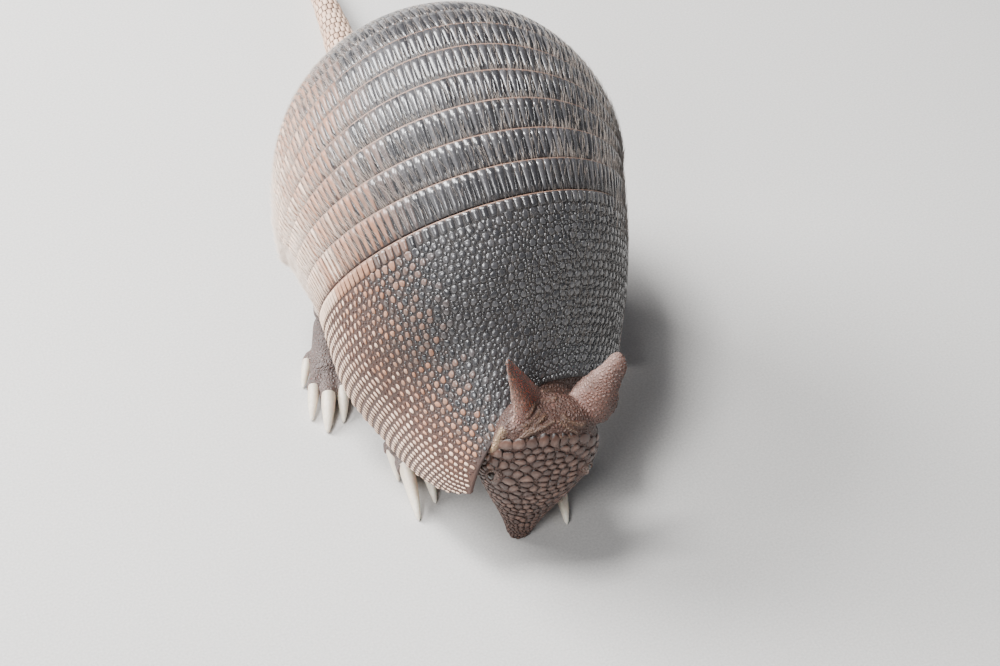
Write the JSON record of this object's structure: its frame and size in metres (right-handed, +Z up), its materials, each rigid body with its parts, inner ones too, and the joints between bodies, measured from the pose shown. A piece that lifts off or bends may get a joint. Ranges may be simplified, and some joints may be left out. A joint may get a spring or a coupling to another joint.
{
  "type": "armadillo model",
  "caption": "Life-size still model of a banded armadillo standing with its nose to the floor, shell arched and tail laid out behind.",
  "frame": {"origin": "middle of the bounding box on the floor", "axes": "+Z up, the animal faces -Y, its left side is +X"},
  "size_m": [0.167, 0.5422, 0.1891],
  "materials": {
    "shell": "horny scutes, dark on the back and pale on the flanks, half gloss",
    "skin": "wrinkled pinkish-grey skin with small scales and sparse hair, matt",
    "claw": "ivory horn, half gloss",
    "eye": "wet dark eye"
  },
  "bodies": {
    "root": {"shoulder_shield": "shell", "band_1": "shell", "band_2": "shell", "band_3": "shell", "band_4": "shell", "band_5": "shell", "band_6": "shell", "band_7": "shell", "band_8": "shell", "band_9": "shell", "rump_shield": "shell", "trunk": "skin", "neck": "skin", "head": "skin", "head_shield": "shell", "ear_left": "skin", "eye_left": "eye", "ear_right": "skin", "eye_right": "eye", "leg_fore_left": "skin", "foot_fore_left": "skin", "claw_fore_left_1": "claw", "claw_fore_left_2": "claw", "claw_fore_left_3": "claw", "claw_fore_left_4": "claw", "leg_fore_right": "skin", "foot_fore_right": "skin", "claw_fore_right_1": "claw", "claw_fore_right_2": "claw", "claw_fore_right_3": "claw", "claw_fore_right_4": "claw", "leg_hind_left": "skin", "foot_hind_left": "skin", "claw_hind_left_1": "claw", "claw_hind_left_2": "claw", "claw_hind_left_3": "claw", "claw_hind_left_4": "claw", "claw_hind_left_5": "claw", "leg_hind_right": "skin", "foot_hind_right": "skin", "claw_hind_right_1": "claw", "claw_hind_right_2": "claw", "claw_hind_right_3": "claw", "claw_hind_right_4": "claw", "claw_hind_right_5": "claw", "tail_root": "skin", "tail_middle": "skin", "tail_rear": "skin", "tail_tip": "skin"}
  },
  "joints": []
}
